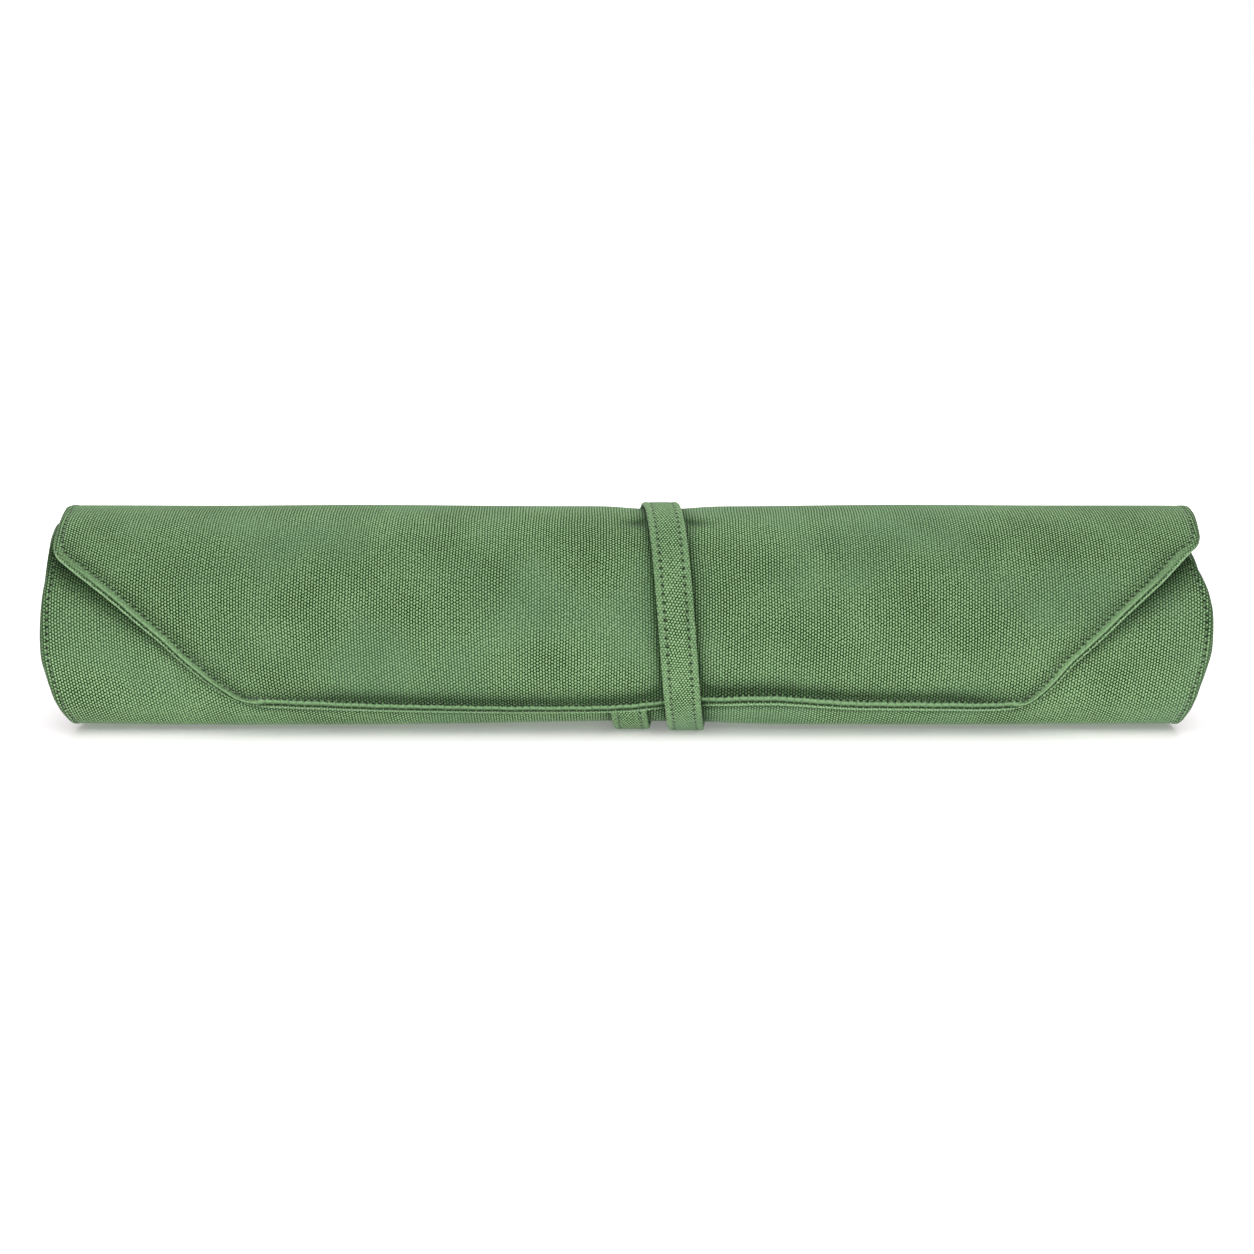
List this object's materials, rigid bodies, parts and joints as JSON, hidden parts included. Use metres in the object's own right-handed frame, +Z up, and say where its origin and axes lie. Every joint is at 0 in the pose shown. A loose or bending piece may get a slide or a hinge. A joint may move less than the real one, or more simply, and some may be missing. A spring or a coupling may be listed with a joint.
{
  "type": "knife roll",
  "caption": "Canvas knife roll, rolled up and tied with a sewn strap: a lined sheet with knife pockets and a tapered flap that unrolls flat.",
  "frame": {"origin": "under the middle of the roll, on the surface that it lies on", "axes": "+X along the roll, +Z up, -Y towards the side where the flap ends"},
  "size_m": [0.46, 0.094, 0.0936],
  "materials": {
    "canvas": "waxed plain weave",
    "lining": "plain cotton",
    "pocket_canvas": "waxed plain weave",
    "strap_canvas": "folded waxed canvas, topstitched"
  },
  "bodies": {
    "bed": {"bed_cover": "canvas", "bed_lining": "lining"},
    "wrap_1": {"wrap_1_cover": "canvas", "wrap_1_lining": "lining"},
    "wrap_2": {"wrap_2_cover": "canvas", "wrap_2_lining": "lining"},
    "wrap_3": {"wrap_3_cover": "canvas", "wrap_3_lining": "lining"},
    "wrap_4": {"wrap_4_cover": "canvas", "wrap_4_lining": "lining"},
    "flap_1": {"flap_1_cover": "canvas", "flap_1_lining": "lining"},
    "flap_2": {"flap_2_cover": "canvas", "flap_2_lining": "lining"},
    "strap_1": {"strap_1": "strap_canvas"},
    "strap_2": {"strap_2": "strap_canvas"},
    "strap_3": {"strap_3": "strap_canvas"},
    "strap_4": {"strap_4": "strap_canvas"},
    "strap_5": {"strap_5": "strap_canvas"},
    "strap_6": {"strap_6": "strap_canvas"},
    "strap_7": {"strap_7": "strap_canvas"},
    "strap_8": {"strap_8": "strap_canvas"},
    "pocket_1": {"pocket_1_cover": "canvas", "pocket_1_lining": "lining", "pocket_1_panel": "pocket_canvas"},
    "pocket_2": {"pocket_2_cover": "canvas", "pocket_2_lining": "lining", "pocket_2_panel": "pocket_canvas"},
    "pocket_3": {"pocket_3_cover": "canvas", "pocket_3_lining": "lining", "pocket_3_panel": "pocket_canvas"},
    "pocket_4": {"pocket_4_cover": "canvas", "pocket_4_lining": "lining", "pocket_4_panel": "pocket_canvas"},
    "pocket_5": {"pocket_5_cover": "canvas", "pocket_5_lining": "lining", "pocket_5_panel": "pocket_canvas"},
    "pocket_6": {"pocket_6_cover": "canvas", "pocket_6_lining": "lining", "pocket_6_panel": "pocket_canvas"},
    "pocket_7": {"pocket_7_cover": "canvas", "pocket_7_lining": "lining", "pocket_7_panel": "pocket_canvas"},
    "pocket_8": {"pocket_8_cover": "canvas", "pocket_8_lining": "lining", "pocket_8_panel": "pocket_canvas"}
  },
  "joints": [
    {"name": "unroll", "type": "hinge", "parent": "bed", "child": "wrap_1", "pos_m": [0, 0.01852, 0.00656], "axis": [-1, 0, 0], "range_deg": [0, 49.42]},
    {"name": "wrap_2_fold", "type": "hinge", "parent": "wrap_1", "child": "wrap_2", "pos_m": [0, 0.04236, 0.03399], "axis": [-1, 0, 0], "range_deg": [0, 48.84]},
    {"name": "wrap_3_fold", "type": "hinge", "parent": "wrap_2", "child": "wrap_3", "pos_m": [0, 0.03738, 0.07024], "axis": [-1, 0, 0], "range_deg": [0, 48.84]},
    {"name": "wrap_4_fold", "type": "hinge", "parent": "wrap_3", "child": "wrap_4", "pos_m": [0, 0.00661, 0.09048], "axis": [-1, 0, 0], "range_deg": [0, 48.84]},
    {"name": "flap_1_fold", "type": "hinge", "parent": "wrap_4", "child": "flap_1", "pos_m": [0, -0.02913, 0.08057], "axis": [-1, 0, 0], "range_deg": [0, 48.84]},
    {"name": "flap_2_fold", "type": "hinge", "parent": "flap_1", "child": "flap_2", "pos_m": [0, -0.0453, 0.04693], "axis": [-1, 0, 0], "range_deg": [0, 48.84]},
    {"name": "strap_1_fold", "type": "hinge", "parent": "flap_2", "child": "strap_1", "pos_m": [0, -0.03051, 0.01238], "axis": [-1, 0, 0], "range_deg": [0, 49.52]},
    {"name": "strap_2_fold", "type": "hinge", "parent": "strap_1", "child": "strap_2", "pos_m": [0, 0.0092, 0], "axis": [-1, 0, 0], "range_deg": [0, 55.03]},
    {"name": "strap_3_fold", "type": "hinge", "parent": "strap_2", "child": "strap_3", "pos_m": [0, 0.04269, 0.0259], "axis": [-1, 0, 0], "range_deg": [0, 53.41]},
    {"name": "strap_4_fold", "type": "hinge", "parent": "strap_3", "child": "strap_4", "pos_m": [0, 0.04186, 0.06829], "axis": [-1, 0, 0], "range_deg": [0, 53.25]},
    {"name": "strap_5_fold", "type": "hinge", "parent": "strap_4", "child": "strap_5", "pos_m": [0, 0.0074, 0.09298], "axis": [-1, 0, 0], "range_deg": [0, 53.25]},
    {"name": "strap_6_fold", "type": "hinge", "parent": "strap_5", "child": "strap_6", "pos_m": [0, -0.033, 0.08015], "axis": [-1, 0, 0], "range_deg": [0, 53.25]},
    {"name": "strap_7_fold", "type": "hinge", "parent": "strap_6", "child": "strap_7", "pos_m": [0, -0.04689, 0.04009], "axis": [-1, 0, 0], "range_deg": [0, 53.25]},
    {"name": "strap_8_fold", "type": "hinge", "parent": "strap_7", "child": "strap_8", "pos_m": [0, -0.02311, 0.005], "axis": [-1, 0, 0], "range_deg": [0, 53.25]},
    {"name": "pocket_1_fold", "type": "hinge", "parent": "bed", "child": "pocket_1", "pos_m": [0, -0.01839, 0.00684], "axis": [1, 0, 0], "range_deg": [0, 62.69]},
    {"name": "pocket_2_fold", "type": "hinge", "parent": "pocket_1", "child": "pocket_2", "pos_m": [0, -0.04092, 0.05129], "axis": [1, 0, 0], "range_deg": [0, 72.12]},
    {"name": "pocket_3_fold", "type": "hinge", "parent": "pocket_2", "child": "pocket_3", "pos_m": [0, -0.00743, 0.0845], "axis": [1, 0, 0], "range_deg": [0, 72.14]},
    {"name": "pocket_4_fold", "type": "hinge", "parent": "pocket_3", "child": "pocket_4", "pos_m": [0, 0.03207, 0.06404], "axis": [1, 0, 0], "range_deg": [0, 72.15]},
    {"name": "pocket_5_fold", "type": "hinge", "parent": "pocket_4", "child": "pocket_5", "pos_m": [0, 0.02515, 0.02282], "axis": [1, 0, 0], "range_deg": [0, 72.17]},
    {"name": "pocket_6_fold", "type": "hinge", "parent": "pocket_5", "child": "pocket_6", "pos_m": [0, -0.01357, 0.01717], "axis": [1, 0, 0], "range_deg": [0, 72.2]},
    {"name": "pocket_7_fold", "type": "hinge", "parent": "pocket_6", "child": "pocket_7", "pos_m": [0, -0.0296, 0.0499], "axis": [1, 0, 0], "range_deg": [0, 72.23]},
    {"name": "pocket_8_fold", "type": "hinge", "parent": "pocket_7", "child": "pocket_8", "pos_m": [0, -0.00526, 0.0733], "axis": [1, 0, 0], "range_deg": [0, 72.27]}
  ],
  "couplings": [
    {"joint": "wrap_2_fold", "follows": "unroll", "ratio": 0.98822},
    {"joint": "wrap_3_fold", "follows": "unroll", "ratio": 0.98822},
    {"joint": "wrap_4_fold", "follows": "unroll", "ratio": 0.98822},
    {"joint": "flap_1_fold", "follows": "unroll", "ratio": 0.98822},
    {"joint": "flap_2_fold", "follows": "unroll", "ratio": 0.98822},
    {"joint": "strap_1_fold", "follows": "unroll", "ratio": 1.002},
    {"joint": "strap_2_fold", "follows": "unroll", "ratio": 1.1136},
    {"joint": "strap_3_fold", "follows": "unroll", "ratio": 1.0807},
    {"joint": "strap_4_fold", "follows": "unroll", "ratio": 1.0775},
    {"joint": "strap_5_fold", "follows": "unroll", "ratio": 1.0775},
    {"joint": "strap_6_fold", "follows": "unroll", "ratio": 1.0775},
    {"joint": "strap_7_fold", "follows": "unroll", "ratio": 1.0775},
    {"joint": "strap_8_fold", "follows": "unroll", "ratio": 1.0775},
    {"joint": "pocket_1_fold", "follows": "unroll", "ratio": 1.2686},
    {"joint": "pocket_2_fold", "follows": "unroll", "ratio": 1.4594},
    {"joint": "pocket_3_fold", "follows": "unroll", "ratio": 1.4597},
    {"joint": "pocket_4_fold", "follows": "unroll", "ratio": 1.46},
    {"joint": "pocket_5_fold", "follows": "unroll", "ratio": 1.4605},
    {"joint": "pocket_6_fold", "follows": "unroll", "ratio": 1.461},
    {"joint": "pocket_7_fold", "follows": "unroll", "ratio": 1.4616},
    {"joint": "pocket_8_fold", "follows": "unroll", "ratio": 1.4624}
  ]
}
